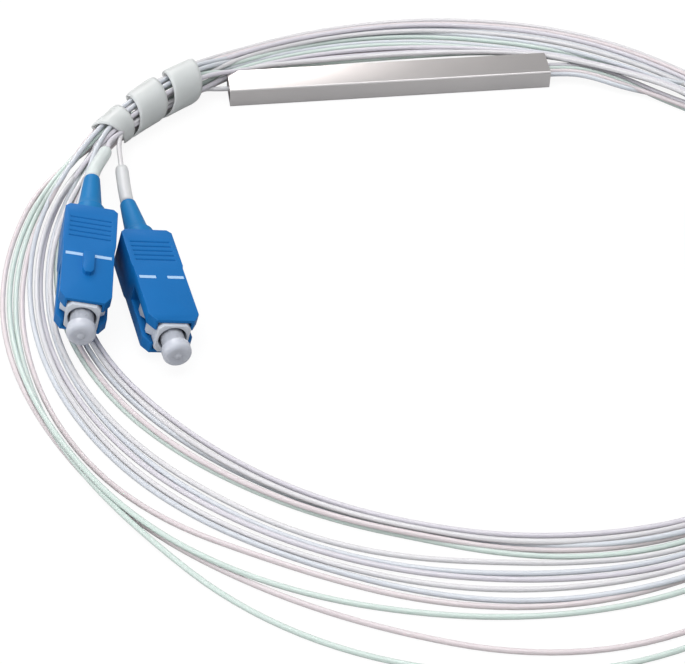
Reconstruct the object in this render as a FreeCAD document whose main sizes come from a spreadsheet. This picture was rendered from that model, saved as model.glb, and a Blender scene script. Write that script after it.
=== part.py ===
import FreeCAD, Part
import math
import os
import Sketcher
from FreeCAD import Placement, Rotation, Vector

# A one-in, four-out planar fibre splitter: a slim steel module, five 0.9 mm cords wound in one coil and
# held by a spiral wrap, and a square push-pull connector with a dust cap on the end of each cord.
# Millimetres. The origin is the middle of the module's underside, +X along it, +Z up.
# Each connector is drawn once, nose at x = 0 on its own axis with its key up, and placed five times.

doc = FreeCAD.newDocument("FibreSplitter")

DRIVING_SIZES = {
    # steel module
    "module_length": 65, "module_width": 7, "module_height": 4, "module_wall": 0.5, "module_edge": 0.3,
    "potting_recess": 0.6, "potting_length": 4,
    "chip_length": 12, "chip_width": 2.4, "chip_height": 1.6, "block_length": 4,
    "bare_fibre": 0.25, "ribbon_width": 1.0,
    # cords
    "cord": 0.9, "lead_pitch": 1.05,
    # outer housing of a connector
    "housing_length": 25, "housing_width": 9, "housing_height": 7.4,
    "corner_long": 1.7, "corner_across": 1.1, "rear_corner": 0.8,
    "grip_start": 14.2, "grip_ramp": 0.8, "grip_proud": 0.2,
    "groove_start": 16.2, "groove_pitch": 1.25, "groove_width": 0.5, "groove_depth": 0.3,
    "groove_length": 7.4, "groove_count": 5,
    "side_slot_length": 11.5, "side_slot_height": 3,
    "key_back": 11.7, "key_front": 6.4, "key_width": 2, "key_height": 0.9,
    "slide_clearance": 0.1,
    # plug frame
    "frame_width": 5.8, "frame_height": 5.9, "frame_length": 17.6, "frame_proud": 0.6, "frame_corner": 0.8,
    "front_bore": 5.0, "neck_bore": 3.2, "neck_front": 7.5, "neck_back": 9.4, "rear_bore": 4.8,
    "latch_proud": 1.0, "latch_height": 2.4, "latch_sunk": 0.3,
    "front_latch_start": 1.4, "front_latch_end": 3.2, "front_latch_ramp": 0.9,
    "rear_latch_start": 5.2, "rear_latch_end": 8.4, "rear_latch_ramp": 1.6,
    # ferrule and spring
    "ferrule": 2.5, "ferrule_tip": 1.2, "flange": 4.5, "flange_length": 2, "ferrule_stop_gap": 0.05,
    "spring": 4.2, "spring_length": 4, "spring_gap": 0.05,
    # rear body
    "rear_flange_width": 5.6, "rear_flange_height": 5.6, "rear_flange_length": 2,
    "barrel": 4.1, "barrel_length": 6,
    # boot
    "collar": 5.8, "collar_cover": 3, "collar_beyond": 1.8,
    "boot_base": 4.5, "boot_tail": 3.0, "boot_length": 12, "boot_fit": 0.05,
    # dust cap
    "cap_barrel": 4.1, "cap_head": 5.1, "cap_inside": 4.2, "cap_shoulder": 3.0, "cap_end": 5.2,
    "cap_edge": 0.7, "cap_fit": 0.07, "cap_roof": 2.4,
    # marker sleeve
    "sleeve": 3.0, "sleeve_bore": 1.5, "sleeve_length": 9, "sleeve_place": 0.46,
    "cord_behind_boot": 2.2,
    # coil and wrap
    "coil_height": 2.6, "bundle": 5.4, "bundle_middle": 74.4, "bundle_past_wrap": 3,
    "wrap_start": 124.4, "wrap_end": 143.6,
    "wrap_inner": 7.6, "wrap_thickness": 0.45, "wrap_strip": 6.8, "wrap_turns": 2, "rest_gap": 0.3,
}

sizes = doc.addObject("Spreadsheet::Sheet", "Sizes")
for row, (alias, number) in enumerate(DRIVING_SIZES.items(), start=1):
    sizes.set(f"A{row}", alias)
    sizes.set(f"B{row}", str(number))
    sizes.setAlias(f"B{row}", alias)
doc.recompute()


def size(alias):
    return float(getattr(sizes, alias))


def cells(expression):
    """Puts the sheet's name before each alias, so that an expression can be written with plain words."""
    words = []
    word = ""
    for sign in expression + " ":
        if sign.isalnum() or sign in "_.":
            word += sign
            continue
        words.append(f"Sizes.{word}" if word in DRIVING_SIZES else word)
        words.append(sign)
        word = ""
    return "".join(words).strip()


def bind(item, **expressions):
    for name, expression in expressions.items():
        item.setExpression(name, cells(expression))


# ---- sketches and features ----

def origin_feature(body, role):
    return next(f for f in body.Origin.OriginFeatures if f.Role == role)


def new_body(label):
    body = doc.addObject("PartDesign::Body", label)
    body.Label = label
    return body


def new_sketch(body, name, plane, lift=None):
    sketch = body.newObject("Sketcher::SketchObject", name)
    sketch.AttachmentSupport = [(origin_feature(body, plane), "")]
    sketch.MapMode = "FlatFace"
    if lift:
        sketch.setExpression(".AttachmentOffset.Base.z", cells(lift))
    return sketch


def add_polygon(sketch, corners):
    """A closed outline whose every corner is held to the sketch's origin by two bound distances."""
    count = len(corners)
    ring = [Vector(math.cos(2 * math.pi * k / count), math.sin(2 * math.pi * k / count), 0)
            for k in range(count)]
    first = sketch.GeometryCount
    for k in range(count):
        sketch.addGeometry(Part.LineSegment(ring[k], ring[(k + 1) % count]), False)
    for k in range(count):
        sketch.addConstraint(Sketcher.Constraint("Coincident", first + k, 2, first + (k + 1) % count, 1))
    for k, pair in enumerate(corners):
        for kind, distance, start in zip(("DistanceX", "DistanceY"), pair, (ring[k].x, ring[k].y)):
            index = sketch.addConstraint(Sketcher.Constraint(kind, -1, 1, first + k, 1, start))
            sketch.setExpression(f"Constraints[{index}]", cells(distance))


def add_circle(sketch, diameter):
    index = sketch.addGeometry(Part.Circle(Vector(0, 0, 0), Vector(0, 0, 1), 1), False)
    sketch.addConstraint(Sketcher.Constraint("Coincident", index, 3, -1, 1))
    bound = sketch.addConstraint(Sketcher.Constraint("Diameter", index, 2))
    sketch.setExpression(f"Constraints[{bound}]", cells(diameter))


def mirrored(half):
    """The whole outline from the corners of its upper half, listed from front to back."""
    return half + [(along, f"-({across})") for along, across in reversed(half)]


def rectangle(left, right, bottom, top):
    return [(left, bottom), (right, bottom), (right, top), (left, top)]


def pad(body, name, sketch, length, both_ways=False, backwards=False):
    feature = body.newObject("PartDesign::Pad", name)
    feature.Profile = sketch
    feature.Midplane = both_ways
    feature.Reversed = backwards
    bind(feature, Length=length)
    return feature


def pocket(body, name, sketch, length=None, both_ways=False):
    feature = body.newObject("PartDesign::Pocket", name)
    feature.Profile = sketch
    feature.Midplane = both_ways
    if length:
        bind(feature, Length=length)
    else:
        feature.Type = "ThroughAll"
    return feature


def turn(body, name, sketch, cut=False):
    feature = body.newObject("PartDesign::Groove" if cut else "PartDesign::Revolution", name)
    feature.Profile = sketch
    feature.ReferenceAxis = (sketch, ["H_Axis"])
    feature.Angle = 360
    return feature


def turned_body(label, corners):
    """A piece turned on the connector's axis, from the half section's corners as (along, radius)."""
    body = new_body(label)
    sketch = new_sketch(body, label + "_section", "XY_Plane")
    add_polygon(sketch, corners)
    turn(body, label + "_turned", sketch)
    return body


# ---- the pieces of one connector ----

def outer_housing():
    body = new_body("outer_housing")
    plan = new_sketch(body, "housing_plan", "XY_Plane")
    add_polygon(plan, mirrored([
        ("0", "housing_width / 2 - corner_across"),
        ("-corner_long", "housing_width / 2"),
        ("-grip_start", "housing_width / 2"),
        ("-grip_start - grip_ramp", "housing_width / 2 + grip_proud"),
        ("-housing_length + rear_corner", "housing_width / 2 + grip_proud"),
        ("-housing_length", "housing_width / 2 + grip_proud - rear_corner"),
    ]))
    pad(body, "housing_shell", plan, "housing_height", both_ways=True)

    key = new_sketch(body, "key_plan", "XY_Plane", "housing_height / 2 - key_height / 3")
    add_polygon(key, mirrored([
        ("-key_front", "key_width * 0.2"),
        ("-key_front - key_width * 0.15", "key_width * 0.36"),
        ("-key_front - key_width * 0.5", "key_width / 2"),
        ("-key_back", "key_width / 2"),
    ]))
    pad(body, "key", key, "key_height * 4 / 3")

    cavity = new_sketch(body, "cavity_section", "YZ_Plane")
    half_width = "(frame_width / 2 + slide_clearance)"
    half_height = "(frame_height / 2 + slide_clearance)"
    add_polygon(cavity, rectangle(f"-{half_width}", half_width, f"-{half_height}", half_height))
    pocket(body, "cavity", cavity)

    slot = new_sketch(body, "side_slot_section", "XZ_Plane")
    add_polygon(slot, rectangle("-side_slot_length", "1", "-side_slot_height / 2", "side_slot_height / 2"))
    pocket(body, "side_slots", slot, both_ways=True)

    groove = new_sketch(body, "groove_section", "XZ_Plane")
    for side in ("", "-"):
        add_polygon(groove, [
            ("-groove_start", f"{side}(housing_height / 2 + 0.1)"),
            ("-groove_start - groove_width / 2", f"{side}(housing_height / 2 - groove_depth)"),
            ("-groove_start - groove_width", f"{side}(housing_height / 2 + 0.1)"),
        ])
    first_groove = pocket(body, "first_groove", groove, "groove_length", both_ways=True)
    doc.recompute()
    pattern = body.newObject("PartDesign::LinearPattern", "grip_grooves")
    pattern.Originals = [first_groove]
    pattern.Direction = (groove, ["H_Axis"])
    pattern.Reversed = True
    bind(pattern, Length="groove_pitch * (groove_count - 1)", Occurrences="groove_count")
    body.Tip = pattern
    return body


def plug_frame():
    body = new_body("plug_frame")
    front = new_sketch(body, "frame_section", "YZ_Plane", "frame_proud")
    wide, tall = "frame_width / 2", "frame_height / 2"
    add_polygon(front, mirrored([
        (f"-({wide})", f"{tall} - frame_corner"), (f"-({wide} - frame_corner)", tall),
        (f"{wide} - frame_corner", tall), (wide, f"{tall} - frame_corner"),
    ]))
    pad(body, "frame_block", front, "frame_length", backwards=True)

    latches = new_sketch(body, "latch_plan", "XY_Plane")
    for side in ("", "-"):
        root = f"{side}(frame_width / 2 - latch_sunk)"
        crest = f"{side}(frame_width / 2 + latch_proud)"
        for latch in ("front_latch", "rear_latch"):
            add_polygon(latches, [
                (f"-{latch}_start", root), (f"-{latch}_start - {latch}_ramp", crest),
                (f"-{latch}_end", crest), (f"-{latch}_end", root),
            ])
    pad(body, "latch_shoulders", latches, "latch_height", both_ways=True)

    # round where a plug goes in, and eight-sided where the ferrule and its spring lie hidden
    front_bore = new_sketch(body, "front_bore_section", "YZ_Plane", "frame_proud")
    add_circle(front_bore, "front_bore")
    pocket(body, "front_bore", front_bore, "frame_proud + neck_front")
    neck_bore = new_sketch(body, "neck_bore_section", "YZ_Plane", "-neck_front + 1")
    add_polygon(neck_bore, eight_sided("neck_bore"))
    pocket(body, "neck_bore", neck_bore, "neck_back - neck_front + 2")
    rear_bore = new_sketch(body, "rear_bore_section", "YZ_Plane", "-neck_back")
    add_polygon(rear_bore, eight_sided("rear_bore"))
    pocket(body, "rear_bore", rear_bore, "frame_length - frame_proud - neck_back + 1")
    return body


FLANGE_FRONT = "(neck_back + ferrule_stop_gap)"
FLANGE_BACK = f"({FLANGE_FRONT} + flange_length)"
SPRING_FRONT = f"({FLANGE_BACK} + spring_gap)"
SPRING_BACK = f"({SPRING_FRONT} + spring_length)"
SPIGOT_FRONT = f"({SPRING_BACK} + spring_gap)"
FRAME_BACK = "(frame_length - frame_proud)"
BARREL_BACK = f"({FRAME_BACK} + rear_flange_length + barrel_length)"


def ferrule():
    body = new_body("ferrule")
    half, side = "flange / 2", "flange / 4"
    slant = "flange / 4 * sqrt(3)"
    flange = new_sketch(body, "flange_section", "YZ_Plane", f"-{FLANGE_FRONT}")
    add_polygon(flange, [(half, "0"), (side, slant), (f"-{side}", slant), (f"-{half}", "0"),
                         (f"-{side}", f"-{slant}"), (side, f"-{slant}")])
    pad(body, "hexagonal_flange", flange, "flange_length", backwards=True)
    rod = new_sketch(body, "rod_section", "YZ_Plane", f"-{FLANGE_FRONT}")
    add_circle(rod, "ferrule")
    pad(body, "ceramic_rod", rod, f"ferrule_tip + {FLANGE_FRONT}")
    return body


def ferrule_spring():
    return turned_body("ferrule_spring", [
        (f"-{SPRING_FRONT}", "0"), (f"-{SPRING_FRONT}", "spring / 2"),
        (f"-{SPRING_BACK}", "spring / 2"), (f"-{SPRING_BACK}", "0"),
    ])


def rear_body():
    body = new_body("rear_body")
    barrel = new_sketch(body, "barrel_section", "YZ_Plane", f"-{SPIGOT_FRONT}")
    add_polygon(barrel, eight_sided("barrel"))
    pad(body, "barrel", barrel, f"{BARREL_BACK} - {SPIGOT_FRONT}", backwards=True)
    flange = new_sketch(body, "rear_flange_section", "YZ_Plane", f"-{FRAME_BACK}")
    wide, tall = "rear_flange_width / 2", "rear_flange_height / 2"
    add_polygon(flange, rectangle(f"-{wide}", wide, f"-{tall}", tall))
    pad(body, "rear_flange", flange, "rear_flange_length", backwards=True)
    return body


def boot():
    """Its collar grips the barrel's end, and its bore passes over the barrel's corners."""
    body = new_body("boot")
    collar = new_sketch(body, "collar_section", "YZ_Plane", f"-{BARREL_BACK} + collar_cover")
    add_polygon(collar, round_section("collar"))
    pad(body, "boot_collar", collar, "collar_cover + collar_beyond", backwards=True)
    base = new_sketch(body, "boot_base_section", "YZ_Plane", f"-{BARREL_BACK} - collar_beyond")
    add_polygon(base, round_section("boot_base"))
    tail = new_sketch(body, "boot_tail_section", "YZ_Plane", f"-{BARREL_BACK} - boot_length")
    add_polygon(tail, round_section("boot_tail"))
    doc.recompute()
    taper = body.newObject("PartDesign::AdditiveLoft", "boot_taper")
    taper.Profile = base
    taper.Sections = [tail]
    taper.Ruled = True
    bore = new_sketch(body, "boot_bore_section", "YZ_Plane", f"-{BARREL_BACK} - boot_fit")
    add_polygon(bore, eight_sided("barrel + 2 * boot_fit"))
    doc.recompute()
    cut = pocket(body, "boot_bore", bore, "collar_cover + boot_fit + 1")
    cut.Reversed = True
    return body


def dust_cap():
    return turned_body("dust_cap", [
        ("-cap_inside", "ferrule / 2 + cap_fit"), ("-cap_inside", "cap_barrel / 2"),
        ("cap_shoulder", "cap_barrel / 2"), ("cap_shoulder", "cap_head / 2"),
        ("cap_end - cap_edge", "cap_head / 2"), ("cap_end", "cap_head / 2 - cap_edge"),
        ("cap_end", "0"), ("cap_end - cap_roof", "0"), ("cap_end - cap_roof", "ferrule / 2 + cap_fit"),
    ])


def eight_sided(diameter):
    """The corners of an octagon with its flats the given diameter apart."""
    half = f"({diameter}) / 2"
    part = f"({diameter}) / 2 * 0.41421"
    return [(half, part), (part, half), (f"-{part}", half), (f"-{half}", part),
            (f"-{half}", f"-{part}"), (f"-{part}", f"-{half}"), (part, f"-{half}"), (half, f"-{part}")]


def round_section(diameter, sides=16):
    """The corners of a many-sided section with its corners on the circle of the given diameter."""
    turns = [2 * math.pi * (k + 0.5) / sides for k in range(sides)]
    return [(f"{diameter} / 2 * ({math.cos(t):.5f})", f"{diameter} / 2 * ({math.sin(t):.5f})") for t in turns]


def marker_sleeve():
    """Soft tubing, kept as plain as the cord that it is threaded on."""
    body = new_body("marker_sleeve")
    section = new_sketch(body, "sleeve_section", "YZ_Plane")
    add_polygon(section, eight_sided("sleeve"))
    add_polygon(section, eight_sided("sleeve_bore"))
    pad(body, "sleeve_tube", section, "sleeve_length", both_ways=True)
    return body


# ---- the module ----

def module_box(label, left, right, bottom, height, width):
    """A plain block in the module, between two places along it, standing on the level given."""
    body = new_body(label)
    section = new_sketch(body, label + "_section", "XY_Plane", bottom)
    add_polygon(section, rectangle(left, right, f"-({width}) / 2", f"({width}) / 2"))
    pad(body, label + "_block", section, height)
    return body


def steel_tube():
    body = new_body("steel_tube")
    section = new_sketch(body, "tube_section", "YZ_Plane")
    wide = "module_width / 2"
    add_polygon(section, [
        (f"-({wide})", "module_edge"), (f"-({wide}) + module_edge", "0"),
        (f"{wide} - module_edge", "0"), (wide, "module_edge"),
        (wide, "module_height - module_edge"), (f"{wide} - module_edge", "module_height"),
        (f"-({wide}) + module_edge", "module_height"), (f"-({wide})", "module_height - module_edge"),
    ])
    pad(body, "tube_block", section, "module_length", both_ways=True)
    bore = new_sketch(body, "tube_bore_section", "YZ_Plane")
    inner = "module_width / 2 - module_wall"
    add_polygon(bore, rectangle(f"-({inner})", inner, "module_wall", "module_height - module_wall"))
    pocket(body, "tube_bore", bore, both_ways=True)
    return body


def module_pieces():
    steel_tube()
    clear_width, clear_height = "module_width - 2 * module_wall", "module_height - 2 * module_wall"
    mouth = "(module_length / 2 - potting_recess)"
    glue = "(module_length / 2 - potting_recess - potting_length)"
    module_box("input_potting", f"-{mouth}", f"-{glue}", "module_wall", clear_height, clear_width)
    module_box("output_potting", glue, mouth, "module_wall", clear_height, clear_width)
    module_box("splitter_chip", "-chip_length / 2", "chip_length / 2", "module_wall", "chip_height", "chip_width")
    block = "(chip_length / 2 + block_length)"
    module_box("input_fibre_block", f"-{block}", "-chip_length / 2", "module_wall", "chip_height", "chip_width")
    module_box("output_fibre_block", "chip_length / 2", block, "module_wall", "chip_height", "chip_width")
    level = "module_wall + chip_height / 2 - bare_fibre / 2"
    module_box("input_fibre", f"-{glue}", f"-{block}", level, "bare_fibre", "bare_fibre")
    module_box("output_ribbon", block, glue, level, "bare_fibre", "ribbon_width")


# ---- cords ----

def cord_wire(points):
    """Straight runs joined by tangent arcs. An arc's radius is 0.45 of its shorter run over tan(half turn)."""
    edges = []
    radii = []
    start = points[0]
    for before, corner, after in zip(points, points[1:], points[2:]):
        into = (corner - before).normalize()
        out = (after - corner).normalize()
        turn_angle = into.getAngle(out)
        setback = 0.45 * min(corner.distanceToPoint(before), corner.distanceToPoint(after))
        radius = setback / math.tan(turn_angle / 2)
        radii.append(radius)
        arc_start = corner - into * setback
        arc_end = corner + out * setback
        middle_way = (out - into).normalize()
        middle = corner + middle_way * (radius / math.cos(turn_angle / 2) - radius)
        edges.append(Part.LineSegment(start, arc_start).toShape())
        edges.append(Part.Arc(arc_start, middle, arc_end).toShape())
        start = arc_end
    edges.append(Part.LineSegment(start, points[-1]).toShape())
    return Part.Wire(edges), radii


def cord_tube(label, points):
    """A cord's free stretch: an eight-sided tube that the round cord fits in."""
    wire, radii = cord_wire(points)
    direction = (points[1] - points[0]).normalize()
    facing = Rotation(Vector(0, 0, 1), direction)
    corner_radius = size("cord") / 2 / math.cos(math.pi / 8)
    corners = [points[0] + facing.multVec(Vector(corner_radius * math.cos(math.pi / 4 * k),
                                                 corner_radius * math.sin(math.pi / 4 * k), 0))
               for k in range(9)]
    section = Part.makePolygon(corners)
    tube = wire.makePipeShell([section], True, False)
    expected = Part.Face(section).Area * wire.Length
    print(f"{label}: length {wire.Length:.1f} mm, radii {[round(r, 1) for r in radii]}, "
          f"volume over section x length {tube.Volume / expected:.4f}")
    piece = doc.addObject("Part::Feature", label)
    piece.Label = label
    piece.Shape = tube
    return piece


# ---- coil and wrap ----

COIL_CENTRE = Vector(3, -59.5, 0)

# The coil lies nearly round. Its strands run close together at the wrap and fan out at the front,
# where a few loose turns stand clear of the rest. (angle in degrees, inner radius, outer radius)
COIL_EDGES = [
    (124, 73.5, 79.5), (114, 72.4, 81.8), (102, 69.2, 82), (90, 67.2, 82), (76, 68.4, 82), (64, 71.3, 82.5),
    (46, 71.0, 83), (23, 69.8, 84.5), (0, 69.6, 86), (-22, 69.3, 88), (-45, 68.2, 90), (-66, 66.6, 91),
    (-85, 63, 91.5), (-103, 60.2, 90.5), (-120, 59.0, 87.5), (-138, 59, 83.2), (-156, 61.4, 82),
    (-172, 65.4, 82), (-187, 68.8, 82), (-202, 71, 82), (-215.8, 71.8, 79.5),
]


def coil_point(angle, radius, height=0):
    turn_angle = math.radians(angle)
    return COIL_CENTRE + Vector(radius * math.cos(turn_angle), radius * math.sin(turn_angle), height)


def fibre_coil():
    """The wound strands as one solid: a flat band, open where the wrap is, and the tied bundle through it."""
    edges = []
    for radii in ([(a, outer) for a, inner, outer in COIL_EDGES], [(a, inner) for a, inner, outer in COIL_EDGES]):
        places = [coil_point(a, r) for a, r in radii]
        for k in range(0, len(places) - 2, 2):
            edges.append(Part.Arc(places[k], places[k + 1], places[k + 2]).toShape())
    for a, inner, outer in (COIL_EDGES[0], COIL_EDGES[-1]):
        edges.append(Part.LineSegment(coil_point(a, inner), coil_point(a, outer)).toShape())
    outline = Part.Wire(Part.sortEdges(edges)[0])
    band = Part.Face(outline).extrude(Vector(0, 0, size("coil_height")))

    # the tied bundle: an eight-sided section swept about the coil's axis, a little past the wrap's ends
    lift = size("wrap_inner") / 2 + size("wrap_thickness")
    corner = size("bundle") / 2 / math.cos(math.pi / 8)
    start = size("wrap_start") - size("bundle_past_wrap")
    ring = [math.radians(22.5 + 45 * k) for k in range(9)]
    section = Part.makePolygon([
        coil_point(start, size("bundle_middle") + corner * math.cos(a), lift + corner * math.sin(a)) for a in ring
    ])
    sweep = size("wrap_end") - size("wrap_start") + 2 * size("bundle_past_wrap")
    bundle = Part.Face(section).revolve(COIL_CENTRE, Vector(0, 0, 1), sweep)

    pieces = []
    for label, shape in (("loose_turns", band), ("tied_bundle", bundle)):
        pieces.append(doc.addObject("Part::Feature", label))
        pieces[-1].Shape = shape
    coil = doc.addObject("Part::Fuse", "fibre_coil")
    coil.Label = "fibre_coil"
    coil.Base, coil.Tool = pieces
    return coil


def spiral_wrap():
    """A flat strip wound on the tied bundle, with open gaps between its turns."""
    body = new_body("spiral_wrap")
    section = new_sketch(body, "strip_section", "XY_Plane")
    inner, outer = "wrap_inner / 2", "wrap_inner / 2 + wrap_thickness"
    add_polygon(section, [("0", inner), ("wrap_strip", inner), ("wrap_strip", outer), ("0", outer)])
    doc.recompute()
    strip = body.newObject("PartDesign::AdditiveHelix", "strip")
    strip.Profile = section
    strip.ReferenceAxis = (section, ["H_Axis"])
    strip.Mode = "height-turns-angle"
    middle_angle = (size("wrap_start") + size("wrap_end")) / 2
    half = math.radians(size("wrap_end") - size("wrap_start")) / 2
    chord = 2 * size("bundle_middle") * math.sin(half)
    strip.Height = chord - size("wrap_strip")
    bind(strip, Turns="wrap_turns")
    sag = size("bundle_middle") * (1 - math.cos(half)) / 2
    lift = size("wrap_inner") / 2 + size("wrap_thickness")
    along = Rotation(middle_angle + 90, 0, 0)
    centre = coil_point(middle_angle, size("bundle_middle") - sag, lift)
    body.Placement = Placement(centre - along.multVec(Vector(chord / 2, 0, 0)), along)
    return body


# ---- build ----

masters = {
    "outer_housing": outer_housing(), "plug_frame": plug_frame(), "ferrule": ferrule(),
    "ferrule_spring": ferrule_spring(), "rear_body": rear_body(), "boot": boot(), "dust_cap": dust_cap(),
}
sleeve_master = marker_sleeve()
module_pieces()
doc.recompute()

# Where each connector lies: the middle of its nose, and its yaw, pitch and roll. The input connector lies
# on its key and one edge, so it leans; output 1 lies on the strands; the others lie flat.
half_height = size("housing_height") / 2
lean = math.degrees(math.atan(size("key_height") / (size("housing_width") / 2 - size("key_width") / 2)))
lean_height = (half_height * math.cos(math.radians(lean))
               + (size("housing_width") / 2 + size("grip_proud")) * math.sin(math.radians(lean)))
on_coil = size("coil_height") + size("rest_gap") + half_height
CONNECTORS = {
    "input": (Vector(-49.3, -74.27, lean_height), (-81.64, 0, 180 - lean)),
    "output_1": (Vector(-64.3, -71.25, on_coil + 1.7), (-95.27, 0.4, -12.5)),
    "output_2": (Vector(50.8, -71.9, half_height), (-98, 0, 0)),
    "output_3": (Vector(62.9, -72, half_height), (-93, 0, 0)),
    "output_4": (Vector(80.4, -74.5, on_coil), (-86, 0, 0)),
}

# Each cord's way from just behind its boot to the coil; its marker sleeve sits on the first of these runs
CONNECTOR_ROUTES = {
    "input": [(-55.2, -22.3, 4.6), (-57.3, -18.2, 4.6)],
    "output_1": [(-55.2, -20.3, 6.2), (-56.7, -16.6, 5.4)],
    "output_2": [(58.2, -18.5, 3.2), (57.6, -12.5, 1.4)],
    "output_3": [(65.0, -19.5, 5.2), (62.8, -13.6, 1.6)],
    "output_4": [(76.6, -21.5, 6.0), (72.0, -14.5, 3.8), (67.0, -9.2, 1.6)],
}
boot_end = (size("frame_length") - size("frame_proud") + size("rear_flange_length") + size("barrel_length")
            + size("boot_length"))
placements = {}
for end, (nose, angles) in CONNECTORS.items():
    placements[end] = Placement(nose, Rotation(*angles))
    for piece, master in masters.items():
        copy = doc.addObject("App::Link", f"{end}_{piece}")
        copy.LinkedObject = master
        copy.Label = f"{end}_{piece}"
        copy.Placement = placements[end]

for end, place in placements.items():
    at_boot = place.multVec(Vector(-boot_end, 0, 0))
    behind_boot = place.multVec(Vector(-boot_end - size("cord_behind_boot"), 0, 0))
    route = [at_boot, behind_boot] + [Vector(*point) for point in CONNECTOR_ROUTES[end]]
    cord_tube(f"{end}_tail", route)
    along = (route[2] - behind_boot).normalize()
    sleeve_middle = behind_boot + (route[2] - behind_boot) * size("sleeve_place")
    sleeve = doc.addObject("App::Link", f"{end}_marker_sleeve")
    sleeve.LinkedObject = sleeve_master
    sleeve.Label = f"{end}_marker_sleeve"
    sleeve.Placement = Placement(sleeve_middle, Rotation(Vector(1, 0, 0), along))

mouth_x = size("module_length") / 2 - size("potting_recess")
middle_height = size("module_height") / 2
cord_tube("input_lead", [
    Vector(-mouth_x, 0, middle_height), Vector(-mouth_x - 2.8, 0, middle_height),
    Vector(-mouth_x - 5.5, 1.4, middle_height + 1.0),
])
# The four output leads leave side by side. Each row of this route is along, across and height, and the
# way that the leads lie beside each other there.
OUTPUT_ROUTE = [
    (Vector(0, 0, 0), Vector(0, 1, 0)), (Vector(4.5, 0, 0), Vector(0.14, 1, 0)),
    (Vector(9.5, -1.4, -0.1), Vector(0.41, 0.93, 0)), (Vector(16, -5.3, -0.5), Vector(0.51, 0.86, 0)),
]
for number in range(1, 5):
    aside = (2.5 - number) * size("lead_pitch")
    cord_tube(f"output_lead_{number}", [
        Vector(mouth_x, 0, middle_height) + place + across * aside for place, across in OUTPUT_ROUTE
    ])
fibre_coil()
spiral_wrap()
doc.recompute()

# ---- checks and export ----

for item in doc.Objects:
    if {"Invalid", "Error"} & set(item.State):
        raise RuntimeError(f"{item.Label} did not build: {item.State}")

hidden = set(masters) | {"marker_sleeve", "tied_bundle", "loose_turns"}
nodes = {}
for item in doc.Objects:
    if item.TypeId in ("PartDesign::Body", "App::Link", "Part::Feature", "Part::Fuse") and item.Label not in hidden:
        nodes[item.Label] = Part.getShape(item)

os.makedirs("parts", exist_ok=True)
for label, shape in nodes.items():
    if shape.isNull() or not shape.isValid() or len(shape.Solids) != 1:
        raise RuntimeError(f"{label} is not one valid solid")
for label, shape in nodes.items():
    shape.exportStep(f"parts/{label}.step")
print(f"{len(nodes)} pieces written")
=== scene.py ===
# A fibre splitter: a slim steel module, five thin cords wound in one tied coil, and five capped
# square connectors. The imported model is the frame; this file adds its finish, its cords and fine detail.
import math

import bmesh
import bpy
from mathutils import Matrix, Vector


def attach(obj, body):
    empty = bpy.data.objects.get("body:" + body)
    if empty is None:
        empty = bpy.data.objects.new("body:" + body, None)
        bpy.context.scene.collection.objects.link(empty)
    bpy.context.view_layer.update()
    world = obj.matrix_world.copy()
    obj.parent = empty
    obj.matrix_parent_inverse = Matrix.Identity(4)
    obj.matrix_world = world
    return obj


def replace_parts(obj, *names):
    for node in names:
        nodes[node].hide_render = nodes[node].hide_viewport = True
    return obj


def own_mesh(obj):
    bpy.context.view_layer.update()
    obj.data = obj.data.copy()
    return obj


mm = 0.001
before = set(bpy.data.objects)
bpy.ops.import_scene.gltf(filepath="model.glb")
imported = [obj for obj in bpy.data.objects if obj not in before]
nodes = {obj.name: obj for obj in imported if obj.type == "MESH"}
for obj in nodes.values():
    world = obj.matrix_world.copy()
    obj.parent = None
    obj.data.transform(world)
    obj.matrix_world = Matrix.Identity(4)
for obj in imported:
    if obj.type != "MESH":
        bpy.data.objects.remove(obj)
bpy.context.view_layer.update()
print("frame loaded:", len(nodes), "nodes")


def addObject(name, data, body=None, material=None):
    item = bpy.data.objects.new(name, data)
    bpy.context.scene.collection.objects.link(item)
    if material:
        data.materials.append(material)
    if body:
        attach(item, body)
    return item


def meshFrom(name, corners, faces, smooth=True):
    mesh = bpy.data.meshes.new(name)
    mesh.from_pydata([tuple(c) for c in corners], [], faces)
    bm = bmesh.new()
    bm.from_mesh(mesh)
    bmesh.ops.remove_doubles(bm, verts=bm.verts, dist=1e-7)
    bmesh.ops.dissolve_degenerate(bm, edges=bm.edges, dist=1e-7)
    bmesh.ops.recalc_face_normals(bm, faces=bm.faces)
    bm.to_mesh(mesh)
    bm.free()
    for polygon in mesh.polygons:
        polygon.use_smooth = smooth
    return mesh


def smoothStep(value):
    value = min(1.0, max(0.0, value))
    return value * value * (3 - 2 * value)


# Reads every column of a table of (place, value, ...) rows
def between(table, place):
    if place <= table[0][0]:
        return table[0][1:]
    for low, high in zip(table, table[1:]):
        if place <= high[0]:
            share = (place - low[0]) / (high[0] - low[0])
            return tuple(a + (b - a) * share for a, b in zip(low[1:], high[1:]))
    return table[-1][1:]


def nodeTree(name):
    material = bpy.data.materials.new(name)
    material.use_nodes = True
    tree = material.node_tree
    return material, tree, tree.nodes["Principled BSDF"]


def setSockets(node, **values):
    for name, value in values.items():
        node.inputs[name.replace("_", " ")].default_value = value


def link(tree, source, target):
    tree.links.new(source, target)


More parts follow.
